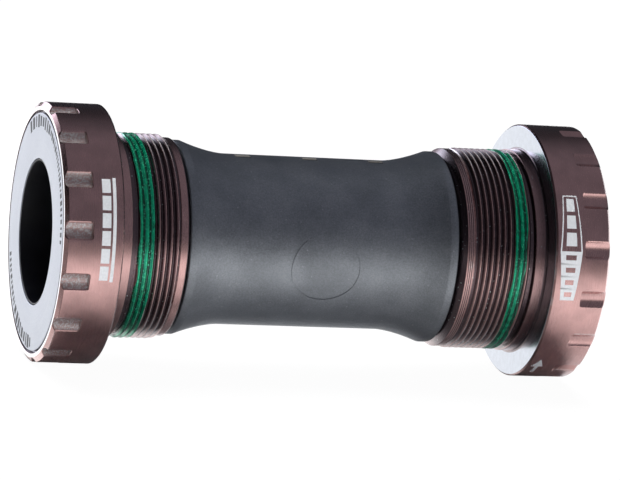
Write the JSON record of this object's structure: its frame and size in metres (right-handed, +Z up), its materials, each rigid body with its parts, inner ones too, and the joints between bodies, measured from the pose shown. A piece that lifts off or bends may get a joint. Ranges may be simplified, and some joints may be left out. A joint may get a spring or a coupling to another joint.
{
  "type": "bottom bracket",
  "caption": "Bicycle bottom bracket with two threaded bearing cups outside the frame shell and a waisted tube sleeve between them, for a through crank spindle.",
  "frame": {"origin": "on the spindle axis, midway between the two shell faces", "axes": "+X along the spindle axis towards the drive side, +Z up, +Y completes a right-handed frame"},
  "size_m": [0.0954, 0.044, 0.044],
  "materials": {
    "anodised_cup": "satin brown anodised",
    "thread_lock": "glossy dried green thread-lock film",
    "silver_cover": "fine satin silver",
    "sleeve_plastic": "moulded slate grey nylon, fine grain",
    "bush_plastic": "black acetal",
    "black_rubber": "black nitrile",
    "bearing_steel": "ground bearing steel",
    "ball_cage": "brown phenolic"
  },
  "bodies": {
    "sleeve": {"center_sleeve": "sleeve_plastic"},
    "drive_o_ring": {"drive_o_ring": "black_rubber"},
    "drive_cup": {"drive_cup": "anodised_cup", "drive_cover_disc": "silver_cover", "drive_outer_ring": "bearing_steel", "drive_outboard_seal": "black_rubber", "drive_inboard_seal": "black_rubber"},
    "drive_rotor": {"drive_inner_ring": "bearing_steel", "drive_spindle_bush": "bush_plastic"},
    "drive_ball_set": {"drive_ball_cage": "ball_cage", "drive_ball_01": "bearing_steel", "drive_ball_02": "bearing_steel", "drive_ball_03": "bearing_steel", "drive_ball_04": "bearing_steel", "drive_ball_05": "bearing_steel", "drive_ball_06": "bearing_steel", "drive_ball_07": "bearing_steel", "drive_ball_08": "bearing_steel", "drive_ball_09": "bearing_steel", "drive_ball_10": "bearing_steel", "drive_ball_11": "bearing_steel", "drive_ball_12": "bearing_steel", "drive_ball_13": "bearing_steel", "drive_ball_14": "bearing_steel", "drive_ball_15": "bearing_steel"},
    "non_drive_o_ring": {"non_drive_o_ring": "black_rubber"},
    "non_drive_cup": {"non_drive_cup": "anodised_cup", "non_drive_cover_disc": "silver_cover", "non_drive_outer_ring": "bearing_steel", "non_drive_outboard_seal": "black_rubber", "non_drive_inboard_seal": "black_rubber"},
    "non_drive_rotor": {"non_drive_inner_ring": "bearing_steel", "non_drive_spindle_bush": "bush_plastic"},
    "non_drive_ball_set": {"non_drive_ball_cage": "ball_cage", "non_drive_ball_01": "bearing_steel", "non_drive_ball_02": "bearing_steel", "non_drive_ball_03": "bearing_steel", "non_drive_ball_04": "bearing_steel", "non_drive_ball_05": "bearing_steel", "non_drive_ball_06": "bearing_steel", "non_drive_ball_07": "bearing_steel", "non_drive_ball_08": "bearing_steel", "non_drive_ball_09": "bearing_steel", "non_drive_ball_10": "bearing_steel", "non_drive_ball_11": "bearing_steel", "non_drive_ball_12": "bearing_steel", "non_drive_ball_13": "bearing_steel", "non_drive_ball_14": "bearing_steel", "non_drive_ball_15": "bearing_steel"}
  },
  "joints": [
    {"name": "drive_cup_turn", "type": "hinge", "parent": "sleeve", "child": "drive_o_ring", "pos_m": [0.02675, 0, 0], "axis": [1, 0, 0], "continuous": true},
    {"name": "drive_cup_slide", "type": "slide", "parent": "drive_o_ring", "child": "drive_cup", "axis": [1, 0, 0], "range_m": [0, 0.006]},
    {"name": "drive_spindle_spin", "type": "hinge", "parent": "drive_cup", "child": "drive_rotor", "pos_m": [0.0425, 0, 0], "axis": [1, 0, 0], "continuous": true},
    {"name": "drive_ball_orbit", "type": "hinge", "parent": "drive_cup", "child": "drive_ball_set", "pos_m": [0.0425, 0, 0], "axis": [1, 0, 0], "continuous": true},
    {"name": "non_drive_cup_turn", "type": "hinge", "parent": "sleeve", "child": "non_drive_o_ring", "pos_m": [-0.02955, 0, 0], "axis": [-1, 0, 0], "continuous": true},
    {"name": "non_drive_cup_slide", "type": "slide", "parent": "non_drive_o_ring", "child": "non_drive_cup", "axis": [-1, 0, 0], "range_m": [0, 0.006]},
    {"name": "non_drive_spindle_spin", "type": "hinge", "parent": "non_drive_cup", "child": "non_drive_rotor", "pos_m": [-0.0425, 0, 0], "axis": [1, 0, 0], "continuous": true},
    {"name": "non_drive_ball_orbit", "type": "hinge", "parent": "non_drive_cup", "child": "non_drive_ball_set", "pos_m": [-0.0425, 0, 0], "axis": [1, 0, 0], "continuous": true}
  ],
  "couplings": [
    {"joint": "drive_ball_orbit", "follows": "drive_spindle_spin", "ratio": 0.44355},
    {"joint": "non_drive_ball_orbit", "follows": "non_drive_spindle_spin", "ratio": 0.44355}
  ]
}
